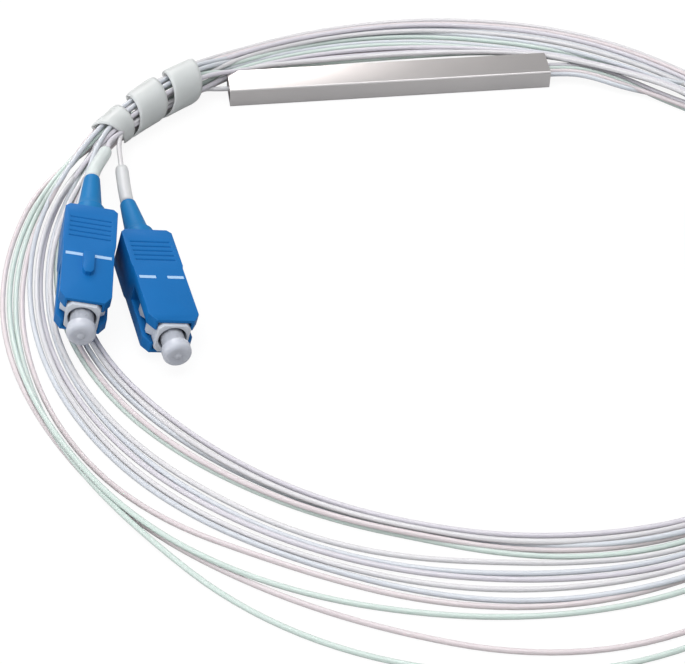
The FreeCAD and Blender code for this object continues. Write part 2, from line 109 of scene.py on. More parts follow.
# Fine moulded grain: a height for a bump, and a mask that varies slowly over the surface
def makeGrainGroup():
    group = bpy.data.node_groups.new("mouldedGrain", "ShaderNodeTree")
    face = group.interface
    for name, value in (("Fine Scale", 4000.0), ("Broad Scale", 250.0)):
        socket = face.new_socket(name, in_out="INPUT", socket_type="NodeSocketFloat")
        socket.default_value = value
    face.new_socket("Height", in_out="OUTPUT", socket_type="NodeSocketFloat")
    face.new_socket("Cloud", in_out="OUTPUT", socket_type="NodeSocketFloat")
    entry = group.nodes.new("NodeGroupInput")
    leave = group.nodes.new("NodeGroupOutput")
    place = group.nodes.new("ShaderNodeTexCoord")
    for label, scale, output in (("fine", "Fine Scale", "Height"), ("broad", "Broad Scale", "Cloud")):
        noise = group.nodes.new("ShaderNodeTexNoise")
        noise.label = label
        noise.inputs["Detail"].default_value = 3.0
        group.links.new(place.outputs["Object"], noise.inputs["Vector"])
        group.links.new(entry.outputs[scale], noise.inputs["Scale"])
        group.links.new(noise.outputs["Fac"], leave.inputs[output])
    return group


grainGroup = makeGrainGroup()


# A moulded plastic or a soft jacket: its colour clouds towards the shade, and its grain is a light bump
def plastic(name, colour, shade, roughness, grain=0.02, fine=4000.0, broad=250.0, **extra):
    material, tree, shader = nodeTree(name)
    group = tree.nodes.new("ShaderNodeGroup")
    group.node_tree = grainGroup
    setSockets(group, Fine_Scale=fine, Broad_Scale=broad)
    mix = tree.nodes.new("ShaderNodeMix")
    mix.data_type = "RGBA"
    mix.inputs["A"].default_value = (*colour, 1)
    mix.inputs["B"].default_value = (*shade, 1)
    link(tree, group.outputs["Cloud"], mix.inputs["Factor"])
    link(tree, mix.outputs["Result"], shader.inputs["Base Color"])
    spread = tree.nodes.new("ShaderNodeMapRange")
    spread.inputs["To Min"].default_value = roughness * 0.88
    spread.inputs["To Max"].default_value = roughness * 1.12
    link(tree, group.outputs["Cloud"], spread.inputs["Value"])
    link(tree, spread.outputs["Result"], shader.inputs["Roughness"])
    bump = tree.nodes.new("ShaderNodeBump")
    setSockets(bump, Strength=grain, Distance=0.0001)
    link(tree, group.outputs["Height"], bump.inputs["Height"])
    link(tree, bump.outputs["Normal"], shader.inputs["Normal"])
    setSockets(shader, **extra)
    return material


# Drawn steel: fine streaks along the module, faint clouds and a satin shine
def steelFinish():
    material, tree, shader = nodeTree("drawnSteel")
    place = tree.nodes.new("ShaderNodeTexCoord")
    stretch = tree.nodes.new("ShaderNodeMapping")
    stretch.inputs["Scale"].default_value = (60, 5000, 5000)
    streaks = tree.nodes.new("ShaderNodeTexNoise")
    setSockets(streaks, Scale=1.0, Detail=4.0)
    clouds = tree.nodes.new("ShaderNodeTexNoise")
    setSockets(clouds, Scale=90.0, Detail=3.0)
    link(tree, place.outputs["Object"], stretch.inputs["Vector"])
    link(tree, stretch.outputs["Vector"], streaks.inputs["Vector"])
    link(tree, place.outputs["Object"], clouds.inputs["Vector"])
    colour = tree.nodes.new("ShaderNodeMix")
    colour.data_type = "RGBA"
    colour.inputs["A"].default_value = (0.60, 0.58, 0.58, 1)
    colour.inputs["B"].default_value = (0.68, 0.655, 0.65, 1)
    link(tree, clouds.outputs["Fac"], colour.inputs["Factor"])
    link(tree, colour.outputs["Result"], shader.inputs["Base Color"])
    rough = tree.nodes.new("ShaderNodeMapRange")
    rough.inputs["To Min"].default_value = 0.30
    rough.inputs["To Max"].default_value = 0.42
    link(tree, streaks.outputs["Fac"], rough.inputs["Value"])
    link(tree, rough.outputs["Result"], shader.inputs["Roughness"])
    bump = tree.nodes.new("ShaderNodeBump")
    setSockets(bump, Strength=0.06, Distance=0.0001)
    link(tree, streaks.outputs["Fac"], bump.inputs["Height"])
    link(tree, bump.outputs["Normal"], shader.inputs["Normal"])
    setSockets(shader, Metallic=1.0)
    return material


# Sockets of a milky plastic, in which light spreads by the given distance in mm
def milky(reach):
    return {"Subsurface_Weight": 1.0, "Subsurface_Radius": (1.0, 1.0, 1.0), "Subsurface_Scale": reach * mm}


finishes = {
    "blue": plastic("bluePlastic", (0.006, 0.141, 0.415), (0.005, 0.130, 0.390), 0.42,
                    Specular_IOR_Level=0.16),
    "boot": plastic("blueBoot", (0.005, 0.172, 0.425), (0.005, 0.160, 0.400), 0.48, grain=0.01,
                    Specular_IOR_Level=0.2),
    "frame": plastic("framePlastic", (0.66, 0.69, 0.74), (0.61, 0.64, 0.69), 0.42),
    "rear": plastic("rearPlastic", (0.02, 0.02, 0.022), (0.03, 0.03, 0.03), 0.5),
    "ceramic": plastic("ferruleCeramic", (0.86, 0.84, 0.78), (0.82, 0.80, 0.74), 0.18, grain=0.0),
    "spring": plastic("springWire", (0.45, 0.45, 0.45), (0.35, 0.35, 0.35), 0.35, Metallic=1.0),
    "cap": plastic("capPlastic", (0.50, 0.52, 0.575), (0.56, 0.58, 0.635), 0.28, grain=0.01, **milky(1.2)),
    "mark": plastic("markPaint", (0.36, 0.55, 0.78), (0.33, 0.51, 0.74), 0.5),
    "sleeve": plastic("sleeveTubing", (0.64, 0.65, 0.66), (0.60, 0.61, 0.62), 0.4, grain=0.01,
                      **milky(0.5)),
    "clearSleeve": plastic("clearTubing", (0.66, 0.72, 0.705), (0.62, 0.685, 0.67), 0.35, grain=0.01,
                           **milky(1.5)),
    "wrap": plastic("wrapStrip", (0.60, 0.625, 0.62), (0.56, 0.585, 0.58), 0.36, grain=0.03, **milky(1.5)),
    "steel": steelFinish(),
    "glue": plastic("curedGlue", (0.10, 0.10, 0.11), (0.05, 0.05, 0.06), 0.3, grain=0.3, fine=1500.0),
    "silica": plastic("groundSilica", (0.75, 0.78, 0.8), (0.7, 0.73, 0.76), 0.3, Transmission_Weight=0.5),
}

cordColours = {
    "input": ((0.66, 0.65, 0.66), (0.61, 0.60, 0.62)),
    "output_1": ((0.63, 0.61, 0.65), (0.585, 0.565, 0.61)),
    "output_2": ((0.58, 0.66, 0.625), (0.54, 0.62, 0.585)),
    "output_3": ((0.67, 0.61, 0.62), (0.62, 0.56, 0.58)),
    "output_4": ((0.60, 0.625, 0.66), (0.56, 0.58, 0.625)),
}
for end, (colour, shade) in cordColours.items():
    finishes[end] = plastic("cord_" + end, colour, shade, 0.25, grain=0.0, broad=120.0, **milky(0.8))
print("materials made")

view = {
    "place": (-61.479, -336.296, 249.222),  # mm
    "yaw": 9.089, "elevation": 42.867, "roll": 2.02,  # degrees
    "lens": 109.04, "sensor": 36.0,
}


def makeCamera():
    yaw, down, roll = (math.radians(view[k]) for k in ("yaw", "elevation", "roll"))
    forward = Vector((math.cos(down) * math.sin(yaw), math.cos(down) * math.cos(yaw), -math.sin(down)))
    level = Vector((math.cos(yaw), -math.sin(yaw), 0))
    upright = level.cross(forward)
    right = level * math.cos(roll) + upright * math.sin(roll)
    up = upright * math.cos(roll) - level * math.sin(roll)
    data = bpy.data.cameras.new("camera")
    data.lens = view["lens"]
    data.sensor_width = view["sensor"]
    data.clip_start = 0.01
    data.clip_end = 20
    camera = addObject("camera", data)
    turn = Matrix((right, up, -forward)).transposed().to_4x4()
    camera.matrix_world = Matrix.Translation(Vector(view["place"]) * mm) @ turn
    bpy.context.scene.camera = camera


studio = {
    "floorSize": 6.0, "floorDrop": 0.02,  # metres, and mm below the part
    "floorTone": 0.45, "floorGlow": 0.80, "glowStrength": 1.14,
    "lamps": [  # name, place in metres, width and height in metres, watts, tint
        ("keyLamp", (-0.22, 0.92, 0.70), 0.50, 0.40, 3.8, (1.0, 0.955, 0.93)),
        ("topLamp", (-0.10, -0.10, 1.10), 1.00, 1.00, 9.0, (0.97, 0.985, 1.0)),
        ("leftLamp", (-0.85, -0.35, 0.45), 0.50, 0.50, 2.6, (0.97, 0.985, 1.0)),
    ],
    "worldStrength": 0.50, "worldShine": 0.45,
}


def makeStudio():
    half = studio["floorSize"] / 2
    low = -studio["floorDrop"] * mm
    corners = [(-half, -half, low), (half, -half, low), (half, half, low), (-half, half, low)]
    mesh = meshFrom("floor", corners, [(0, 1, 2, 3)])
    material, tree, shader = nodeTree("paleFloor")
    tone = studio["floorTone"]
    setSockets(shader, Base_Color=(tone, tone, tone, 1), Roughness=0.9)
    glow = tree.nodes.new("ShaderNodeEmission")
    glow.inputs["Strength"].default_value = studio["glowStrength"]
    seen = tree.nodes.new("ShaderNodeLightPath")
    share = tree.nodes.new("ShaderNodeMath")
    share.operation = "MULTIPLY"
    share.inputs[1].default_value = studio["floorGlow"]
    through = tree.nodes.new("ShaderNodeMath")
    through.operation = "MAXIMUM"
    blend = tree.nodes.new("ShaderNodeMixShader")
    link(tree, seen.outputs["Is Camera Ray"], through.inputs[0])
    link(tree, seen.outputs["Is Transmission Ray"], through.inputs[1])
    link(tree, through.outputs[0], share.inputs[0])
    link(tree, share.outputs[0], blend.inputs["Fac"])
    link(tree, shader.outputs["BSDF"], blend.inputs[1])
    link(tree, glow.outputs["Emission"], blend.inputs[2])
    link(tree, blend.outputs["Shader"], tree.nodes["Material Output"].inputs["Surface"])
    floor = addObject("floor", mesh, material=material)
    for name, place, width, height, power, colour in studio["lamps"]:
        data = bpy.data.lights.new(name, "AREA")
        data.shape = "RECTANGLE"
        data.size = width
        data.size_y = height
        data.energy = power
        data.color = colour
        lamp = addObject(name, data)
        lamp.location = place
        lamp.rotation_mode = "QUATERNION"
        aim = Vector((0, -0.06, 0)) - Vector(place)
        lamp.rotation_quaternion = aim.to_track_quat("-Z", "Y")
    world = bpy.data.worlds.new("studio")
    world.use_nodes = True
    tree = world.node_tree
    background = tree.nodes["Background"]
    seen = tree.nodes.new("ShaderNodeLightPath")
    shine = tree.nodes.new("ShaderNodeMapRange")
    shine.inputs["To Min"].default_value = studio["worldStrength"]
    shine.inputs["To Max"].default_value = studio["worldShine"]
    level = tree.nodes.new("ShaderNodeMix")
    level.inputs["B"].default_value = 1.0
    link(tree, seen.outputs["Is Glossy Ray"], shine.inputs["Value"])
    link(tree, shine.outputs["Result"], level.inputs["A"])
    link(tree, seen.outputs["Is Camera Ray"], level.inputs["Factor"])
    link(tree, level.outputs["Result"], background.inputs["Strength"])
    background.inputs["Color"].default_value = (1, 1, 1, 1)
    bpy.context.scene.world = world
    bpy.context.scene.view_settings.view_transform = "Standard"


makeCamera()
makeStudio()
print("camera and studio made")

# The middle of each nose in mm, and its yaw, pitch and roll in degrees; local +X points out of the nose
connectors = {
    "input": ((-49.3, -74.27, 4.754), (-81.64, 0.0, 165.58)),
    "output_1": ((-64.3, -71.25, 8.3), (-95.27, 0.4, -12.5)),
    "output_2": ((50.8, -71.9, 3.7), (-98.0, 0.0, 0.0)),
    "output_3": ((62.9, -72.0, 3.7), (-93.0, 0.0, 0.0)),
    "output_4": ((80.4, -74.5, 6.6), (-86.0, 0.0, 0.0)),
}


# From a connector's own frame, in mm, to the row's frame, in metres
def connectorPlace(end):
    nose, angles = connectors[end]
    turn = Matrix.Identity(4)
    for angle, axis in zip(angles, "ZYX"):
        turn = turn @ Matrix.Rotation(math.radians(angle), 4, axis)
    return Matrix.Translation(Vector(nose) * mm) @ turn @ Matrix.Scale(mm, 4)


coil = {
    "centre": Vector((3.0, -59.5, 0.0)), "cord": 0.9, "drawn": 0.94, "usual": 75,  # mm
    "step": 10,  # degrees between the points of a cord
    "swell": 1.0038,  # makes up for the spline's cutting of its corners
    "lowest": 0.47, "highest": 4.8, "lift": 0.05, "slope": 0.11, "apart": 0.97, "wander": 0.05,
    "wrapRise": 3.05, "roundness": 4, "smoothness": 5,
}

# Groups of strands as (angle, inner radius, outer radius), and single turns as (angle, radius). The radii
# are those at which the strands appear from the camera when they are taken to lie on the floor.
groups = {
    "inner": ((150, 71.5, 75.5), (158, 69.8, 74.2), (170, 67.8, 73.0), (188, 65.6, 71.0), (198, 63.2, 69.0),
              (208, 61.0, 67.5), (220, 59.7, 65.2), (232, 59.2, 63.9), (244, 59.3, 63.5), (256, 60.0, 63.9),
              (269, 61.9, 67.0), (282, 64.3, 70.3), (293, 67.6, 72.4), (310, 70.0, 75.0)),
    "middle": ((150, 73.9, 79.0), (160, 73.2, 78.4), (170, 72.4, 77.6), (178, 71.8, 77.0),
               (188, 71.5, 76.6), (200, 69.9, 75.9), (212, 68.6, 75.5), (224, 67.5, 74.7),
               (239, 67.3, 73.6), (250, 67.4, 74.0), (260, 66.9, 75.6), (270, 67.4, 76.6),
               (284, 70.8, 77.8), (300, 73.5, 79.5)),
    "joiner": ((150, 78.0), (160, 77.8), (178, 77.8), (192, 78.1), (205, 78.4), (214, 78.3), (222, 77.5),
               (228, 76.4), (234, 75.1), (240, 74.7), (247, 75.0), (255, 75.9), (262, 76.7), (277, 77.9),
               (290, 78.2), (310, 79.5)),
    "green": ((150, 79.6), (170, 80.1), (192, 80.0), (204, 79.5), (222, 80.0), (235, 79.5), (247, 78.9),
              (255, 78.6), (266, 78.9), (277, 79.5), (287, 80.2), (300, 80.8), (320, 80.0)),
    "pink": ((150, 80.8), (160, 81.0), (170, 81.3), (184, 81.3), (192, 80.9), (204, 80.3), (222, 80.4),
             (235, 80.5), (241, 81.0), (248, 81.6), (255, 82.9), (262, 84.8), (269, 86.4), (275, 87.2),
             (284, 87.5), (300, 86.0), (320, 83.0)),
    "low": ((150, 78.9), (178, 78.9), (192, 79.2), (204, 79.9), (212, 80.35), (220, 80.85), (228, 82.5),
            (234, 84.5), (241, 86.4), (249, 88.0), (257, 89.2), (268, 90.4), (280, 90.6), (295, 89.0),
            (320, 84.5)),
    "topOuter": ((25, 74.5, 82.5), (45, 75.5, 82.8), (53, 75.0, 83.6), (65, 75.0, 83.7), (72, 74.5, 83.0),
                 (82, 75.3, 82.4), (88, 75.4, 82.0), (96, 75.9, 81.5), (104, 76.2, 81.3), (112, 76.6, 81.6),
                 (119, 77.0, 81.3)),
    "topSeam": ((25, 75.0), (42.6, 76.7), (51.7, 74.7), (59, 74.0), (63, 73.4), (71, 72.2), (80, 72.7),
                (89, 73.3), (97, 73.9), (106, 74.6), (114, 75.2), (118, 76.2)),
    "topGap": ((25, 76.0), (42.6, 77.6), (51.7, 75.7), (59, 75.0), (63, 74.4), (71, 73.2), (80, 73.7),
               (89, 74.3), (97, 74.9), (106, 75.6), (114, 76.2), (118, 77.0)),
    "topInner": ((25, 75.0, 76.8), (42, 75.9, 77.6), (51, 74.0, 75.7), (57, 73.4, 75.1), (63, 73.0, 74.6),
                 (71, 71.5, 73.3), (80, 69.5, 72.2), (88, 68.0, 72.6), (95, 68.3, 72.9), (103, 69.6, 73.6),
                 (112, 71.5, 74.5), (119, 73.0, 76.0)),
    "lead": ((-60, 70.0, 80.0), (0, 71.0, 79.0), (30, 72.4, 76.0), (39.5, 71.5, 74.9), (44.4, 70.1, 73.0),
             (49.3, 69.4, 72.1), (55.7, 68.5, 71.8)),
    "fold": ((-60, 73.0, 84.5), (0, 73.0, 84.0), (60, 73.0, 84.0)),
}

# Every pass of each cord by turn number: its group, and its share of the way across the group
passes = {
    "input": {"front": {0: ("middle", 0.05), 1: ("inner", 0.28), 2: ("middle", 0.70)},
              "top": {1: ("topOuter", 0.36), 2: ("topInner", 0.25), 3: ("topOuter", 1.0)}},
    "output_1": {"front": {-1: ("inner", 0.02), -2: ("fold", 0.0)},
                 "top": {0: ("lead", 0.95), -1: ("topOuter", 0.68)}},
    "output_1_back": {"front": {-1: ("fold", 1.0), 0: ("middle", 0.48)},
                      "top": {0: ("topInner", 0.5), 1: ("topInner", 1.0)}},
    "output_2": {"front": {-1: ("green", 0), -2: ("inner", 0.98), -3: ("low", 0)},
                 "top": {0: ("lead", 0.05), -1: ("topOuter", 0.03), -2: ("topSeam", 0),
                         -3: ("topInner", 0.0)}},
    "output_3": {"front": {-1: ("joiner", 0), -2: ("pink", 0), -3: ("inner", 0.74)},
                 "top": {0: ("lead", 0.35), -1: ("topOuter", 0.84), -2: ("topOuter", 0.76),
                         -3: ("topInner", 0.75)}},
    "output_4": {"front": {-1: ("middle", 0.97), -2: ("inner", 0.5), -3: ("middle", 0.26)},
                 "top": {0: ("lead", 0.65), -1: ("topOuter", 0.52), -2: ("topOuter", 0.20),
                         -3: ("topGap", 0)}},
}

# The cords' first and last angles; the passes that lie under the others at the back are laid first
spans = {
    "output_2": (45, -1035), "output_3": (45, -1035), "output_4": (45, -1035),
    "output_1": (45, -415), "output_1_back": (-55, 495), "input": (135, 1215),
}
laidFirst = [("output_3", -2), ("output_4", -3)]


# A lane's apparent radius: its group's place at this angle, and a slow wander within the group
def groupRadius(lane, angle):
    name, share = lane
    values = between(groups[name], angle)
    if len(values) == 1:
        return values[0]
    low, high = values[0] + coil["cord"] / 2, values[1] - coil["cord"] / 2
    wander = coil["wander"] * math.sin(math.radians(angle * 2.3 + share * 900))
    return low + (high - low) * min(1.0, max(0.0, share + wander))


# The apparent radius of a cord's pass at an angle counted on over its turns
def laneRadius(cord, angle):
    turn = math.floor((angle + 60) / 360)
    local = angle - 360 * turn
    front, top = passes[cord]["front"], passes[cord]["top"]
    if local < 40 and turn - 1 in front:
        share = smoothStep((local + 60) / 95)
        return (groupRadius(front[turn - 1], min(local + 360, 330)) * (1 - share)
                + groupRadius(top[turn], max(local, 25)) * share)
    if turn not in front:
        return groupRadius(top[turn], local)
    if turn not in top:
        return groupRadius(front[turn], local)
    share = smoothStep((local - 120) / 30)
    return (groupRadius(top[turn], min(local, 119)) * (1 - share)
            + groupRadius(front[turn], max(local, 150)) * share)


# Where a strand really is, on the camera's line of sight to its apparent place on the floor
def truePlace(angle, radius, height):
    turn = math.radians(angle)
    low = coil["centre"] + Vector((radius * math.cos(turn), radius * math.sin(turn), 0.5))
    eye = Vector(view["place"])
    return low + (eye - low) * ((height - 0.5) / (eye.z - 0.5))


# Where the strands rise to the spiral wrap and come down from it, and where they are gathered in it, as
# (first angle, span) on the way in and (last angle, span) on the way out
tie = {
    "rise": ((104, 20), (174, 28)), "gather": ((116, 7), (153.5, 7)),
    "rings": ((5, 1.3, 0.3), (11, 2.42, 0.15)),  # strands, radius and phase
    "scale": 3.6, "outwards": 0.12, "upwards": 0.15, "angle": 135,
    "axis": 74.3, "drift": 0.1, "driftFrom": 134,  # the wrap's own middle, in mm and mm a degree
    "wrapSizes": ((131, 4.2), (137, 3.85), (141, 3.45), (145, 3.35)),  # its radius by angle
}


def withinTie(local, name):
    (first, spanIn), (last, spanOut) = tie[name]
    return smoothStep((local - first) / spanIn) * smoothStep((last - local) / spanOut)


def riseTo(local):
    return withinTie(local, "rise")


def gathered(local):
    return withinTie(local, "gather")


# The passes through the wrap lie as a ring of five in a ring of eleven, each in the place nearest to
# where it comes from
def tieSlots():
    found = []
    for cord, (start, end) in spans.items():
        low, high = min(start, end), max(start, end)
        for turn in range(-4, 5):
            if low <= tie["angle"] + 360 * turn <= high:
                sides = [groupRadius(lanes[turn], angle)
                         for lanes, angle in ((passes[cord]["front"], 165), (passes[cord]["top"], 105))
                         if turn in lanes]
                under = (cord, turn) in laidFirst
                found.append((sum(sides) / len(sides), under, cord, turn))
    found.sort()
    places = []
    for count, radius, phase in tie["rings"]:
        for k in range(count):
            turn = 2 * math.pi * k / count + phase
            places.append((radius * math.cos(turn), radius * math.sin(turn)))
    places = places[:len(found)]
    places.sort()
    slots = {}
    for k in range(0, len(found), 4):
        four = sorted(places[k:k + 4], key=lambda p: p[1])
        row = sorted(found[k:k + 4], key=lambda f: not f[1])
        for (across, up), (radius, under, cord, turn) in zip(four, row):
            slots[cord, turn] = (across, up)
    return slots


slots = tieSlots()
print("passes through the tie:", len(slots))


def wrapRadius(local):
    return tie["axis"] + tie["drift"] * (local - tie["driftFrom"])


# The wrap narrows to its left end, and rests on the floor all along
def wrapSize(local):
    return between(tie["wrapSizes"], local)[0]


module = {"halfLength": 32.9, "halfWidth": 4.0, "top": 4.42, "behind": 4.45, "behindFrom": 84}


# A strand that would pass through the module lies on its upper edge instead, or behind it
def hitsModule(place):
    return (abs(place.x) < module["halfLength"] and abs(place.y) < module["halfWidth"]
            and place.z < module["top"])


def placeAt(cord, angle, height):
    turn = math.floor((angle + 60) / 360)
    local = angle - 360 * turn
    lift = coil["wrapRise"] * riseTo(local)
    place = truePlace(local, laneRadius(cord, angle), height + lift)
    weight = gathered(local)
    if weight > 0 and (cord, turn) in slots:
        across, up = (step * wrapSize(local) / tie["scale"] for step in slots[cord, turn])
        out = Vector((math.cos(math.radians(local)), math.sin(math.radians(local)), 0))
        tied = coil["centre"] + out * (wrapRadius(local) + tie["outwards"] + across)
        tied.z = wrapSize(local) + tie["upwards"] + up
        place = place.lerp(tied, weight)
    if local > module["behindFrom"] and hitsModule(place):
        place.y = module["behind"]
    return place


# Lays the passes one after another: each lies on the floor, or on what is already there
def settle():
    fine = coil["step"] // 2
    heights, laid = {}, {}
    order = []
    for cord, (start, end) in spans.items():
        low, high = min(start, end), max(start, end)
        low -= low % fine
        for turn in range(-4, 5):
            angles = [a for a in range(low, high + 1, fine) if math.floor((a + 60) / 360) == turn]
            if angles:
                order.append(((cord, turn) not in laidFirst, cord, angles))
    order.sort(key=lambda row: row[0])
    for first, cord, angles in order:
        for angle in angles:
            local = (angle + 60) % 360 - 60
            height = coil["lowest"]
            below = laid.setdefault(local, [])
            while height < coil["highest"]:
                place = placeAt(cord, angle, height)
                clear = all((place - other).length > coil["cord"] * coil["apart"] for other in below)
                if gathered(local) > 0.6 or (clear and not hitsModule(place)):
                    break
                height += coil["lift"]
            heights[cord, angle] = height
        ease(heights, cord, angles)
        for angle in angles:
            local = (angle + 60) % 360 - 60
            laid[local].append(placeAt(cord, angle, heights[cord, angle]))
    return heights


# A strand climbs over what it crosses, and comes down from it, at an easy slope
def ease(heights, cord, angles):
    rise = coil["slope"] * coil["usual"] * math.radians(coil["step"] / 2)
    for row in (angles, angles[::-1]):
        for a, b in zip(row, row[1:]):
            heights[cord, b] = max(heights[cord, b], heights[cord, a] - rise)


heights = settle()
for cord in spans:
    ease(heights, cord, sorted(a for c, a in heights if c == cord))
print("passes laid")


def coilRun(cord):
    start, end = spans[cord]
    step = coil["step"] if end > start else -coil["step"]
    fine = coil["step"] // 2
    points = []
    for angle in range(start, end + (1 if step > 0 else -1), step):
        near = [heights[cord, a] for a in (angle - fine, angle, angle + fine) if (cord, a) in heights]
        place = placeAt(cord, angle, max(near))
        points.append(coil["centre"] + (place - coil["centre"]) * coil["swell"])
        points[-1].z = place.z
    return points


# The ways between the module or a boot and the coil, as in the part's source
mouth, middleHeight = 31.9, 2.0
inputLead = [(-mouth, 0, middleHeight), (-mouth - 2.8, 0, middleHeight),
             (-mouth - 5.8, 0.1, middleHeight + 0.4)]
outputRoute = [((0, 0, 0), (0, 1, 0)), ((4.5, 0, 0), (0.14, 1, 0)), ((9.5, -1.4, -0.1), (0.41, 0.93, 0)),
               ((16, -5.6, -0.5), (0.51, 0.86, 0))]
tailRoutes = {
    "input": [(-55.3, -24.0, 4.8), (-55.4, -17.3, 4.0)],
    "output_1": [(-57.6, -23.2, 6.5), (-56.9, -18.0, 5.2)],
    "output_2": [(59.2, -19.0, 3.2), (60.8, -12.5, 1.4)],
    "output_3": [(65.0, -19.5, 5.2), (63.4, -13.6, 1.6)],
    "output_4": [(76.6, -21.5, 6.0), (72.0, -14.5, 3.8), (67.0, -9.2, 1.6)],
}
connectorSize = {"bootEnd": 37.0, "behindBoot": 2.2}


# A cord's whole way in mm: module, turns of the coil, tail and boot
def cordPoints(end):
    if end == "input":
        points = [Vector(p) for p in inputLead] + coilRun("input")
    else:
        number = int(end[-1])
        aside = (2.5 - number) * 1.05
        points = [Vector((mouth, 0, middleHeight)) + Vector(place) + Vector(across) * aside
                  for place, across in outputRoute]
        points += coilRun(end)
    if end == "output_1":
        # folds back on the far side, in an easy loop within the coil
        for angle, radius in ((-62, 74.5), (-66.5, 78.8), (-62, 83.2)):
            turn = math.radians(angle)
            points.append(coil["centre"] + Vector((radius * math.cos(turn), radius * math.sin(turn), 1.4)))
        points += coilRun("output_1_back")
    place = connectorPlace(end)
    points += [Vector(p) for p in reversed(tailRoutes[end])]
    for behind in (connectorSize["behindBoot"], 0):
        points.append(place @ Vector((-connectorSize["bootEnd"] - behind, 0, 0)) / mm)
    return points


def makeCord(end):
    points = cordPoints(end)
    data = bpy.data.curves.new(end + "_cord", "CURVE")
    data.dimensions = "3D"
    spline = data.splines.new("NURBS")
    spline.points.add(len(points) - 1)
    for point, place in zip(spline.points, points):
        point.co = (*(place * mm), 1)
    spline.order_u = 3
    spline.use_endpoint_u = True
    spline.resolution_u = coil["smoothness"]
    data.resolution_u = coil["smoothness"]
    data.bevel_depth = coil["drawn"] / 2 * mm
    data.bevel_resolution = coil["roundness"]
    data.use_fill_caps = True
    return addObject(end + "_cord", data, "root", finishes[end])


# The points of a cord's own line, from the module to the boot
def lineOf(cord):
    bare = cord.data.copy()
    bare.bevel_depth = 0
    bare.resolution_u = 12
    probe = bpy.data.objects.new("probe", bare)
    bpy.context.scene.collection.objects.link(probe)
    bpy.context.view_layer.update()
    mesh = bpy.data.meshes.new_from_object(probe.evaluated_get(bpy.context.evaluated_depsgraph_get()))
    line = [v.co.copy() for v in mesh.vertices]
    bpy.data.objects.remove(probe)
    bpy.data.curves.remove(bare)
    bpy.data.meshes.remove(mesh)
    return line


cords = {end: makeCord(end) for end in connectors}
lines = {end: lineOf(cord) for end, cord in cords.items()}


# A tube with open ends that follows a line; radii in metres, and shapeAt narrows it along its length
def tubeAlong(name, line, outer, inner, shapeAt, sides=32):
    rings = []
    side = Vector((0, 0, 1))
    count = len(line)
    for k, centre in enumerate(line):
        along = (line[min(k + 1, count - 1)] - line[max(k - 1, 0)]).normalized()
        side = (side - along * side.dot(along)).normalized()
        rings.append((centre, side.copy(), along.cross(side), shapeAt(k / (count - 1))))
    corners, faces = [], []
    for radius, outside in ((outer, True), (inner, False)):
        for centre, side, other, shape in rings:
            size = radius * (shape if outside else 1.0)
            for j in range(sides):
                angle = 2 * math.pi * j / sides
                corners.append(centre + (side * math.cos(angle) + other * math.sin(angle)) * size)
    shift = count * sides
    for k in range(count - 1):
        for j in range(sides):
            a, b = k * sides + j, k * sides + (j + 1) % sides
            faces.append((a, b, b + sides, a + sides))
            faces.append((shift + a, shift + a + sides, shift + b + sides, shift + b))
    for k in (0, count - 1):
        for j in range(sides):
            a, b = k * sides + j, k * sides + (j + 1) % sides
            faces.append((a, shift + a, shift + b, b))
    return meshFrom(name, corners, faces)


# A closed profile of (along, radius) in mm, turned about the connector's own axis
def turnedMesh(name, profile, place, sides=48):
    corners, faces = [], []
    for along, radius in profile:
        for j in range(sides):
            angle = 2 * math.pi * j / sides
            corners.append(place @ Vector((along, radius * math.cos(angle), radius * math.sin(angle))))
    rows = len(profile)
    for k in range(rows):
        for j in range(sides):
            a, b = k * sides + j, k * sides + (j + 1) % sides
            c, d = (k + 1) % rows * sides + (j + 1) % sides, (k + 1) % rows * sides + j
            faces.append((a, b, c, d))
    return meshFrom(name, corners, faces)


# A rounded corner between two directions of a profile, as a quarter turn about its middle
def rounding(along, radius, size, start, end, steps=5):
    points = []
    for k in range(steps + 1):
        turn = math.radians(start + (end - start) * k / steps)
        points.append((along + size * math.cos(turn), radius + size * math.sin(turn)))
    return points


boot = {"front": -22.0, "collar": 2.9, "collarBack": -27.8, "base": 2.25, "tail": 1.5, "back": -37.0,
        "bore": 0.5, "pocket": 2.1, "pocketBack": -25.05}


# A soft boot: a collar round the barrel's end, a step, and a long smooth taper
def makeBoot(end):
    edge = 0.35
    profile = [(boot["pocketBack"], boot["bore"]), (boot["pocketBack"], boot["pocket"]),
               (boot["front"], boot["pocket"]), (boot["front"], boot["collar"])]
    profile += rounding(boot["collarBack"] + edge, boot["collar"] - edge, edge, 90, 180)
    profile += [(boot["collarBack"] - 0.05, boot["base"] + 0.12), (boot["collarBack"] - 0.22, boot["base"])]
    for share in (0.25, 0.5, 0.75):
        profile.append((boot["collarBack"] + (boot["back"] - boot["collarBack"]) * share,
                        boot["base"] + (boot["tail"] - boot["base"]) * share))
    profile += rounding(boot["back"] + 0.25, boot["tail"] - 0.25, 0.25, 90, 180)
    profile.append((boot["back"], boot["bore"]))
    mesh = turnedMesh(end + "_soft_boot", profile, connectorPlace(end))
    piece = addObject(end + "_soft_boot", mesh, "root", finishes["boot"])
    softenEdges(piece, 0.05)
    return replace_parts(piece, end + "_boot")


# The part of a line between two distances, in metres, from its last point
def lastStretch(line, start, end):
    kept, gone = [], 0.0
    back = list(reversed(line))
    for a, b in zip(back, back[1:]):
        if start <= gone <= end:
            kept.append(a)
        gone += (b - a).length
    return kept


sleeve = {"outer": 1.25, "bore": 0.75, "fromBoot": 0.25, "length": 10.4, "longer": 11.4}


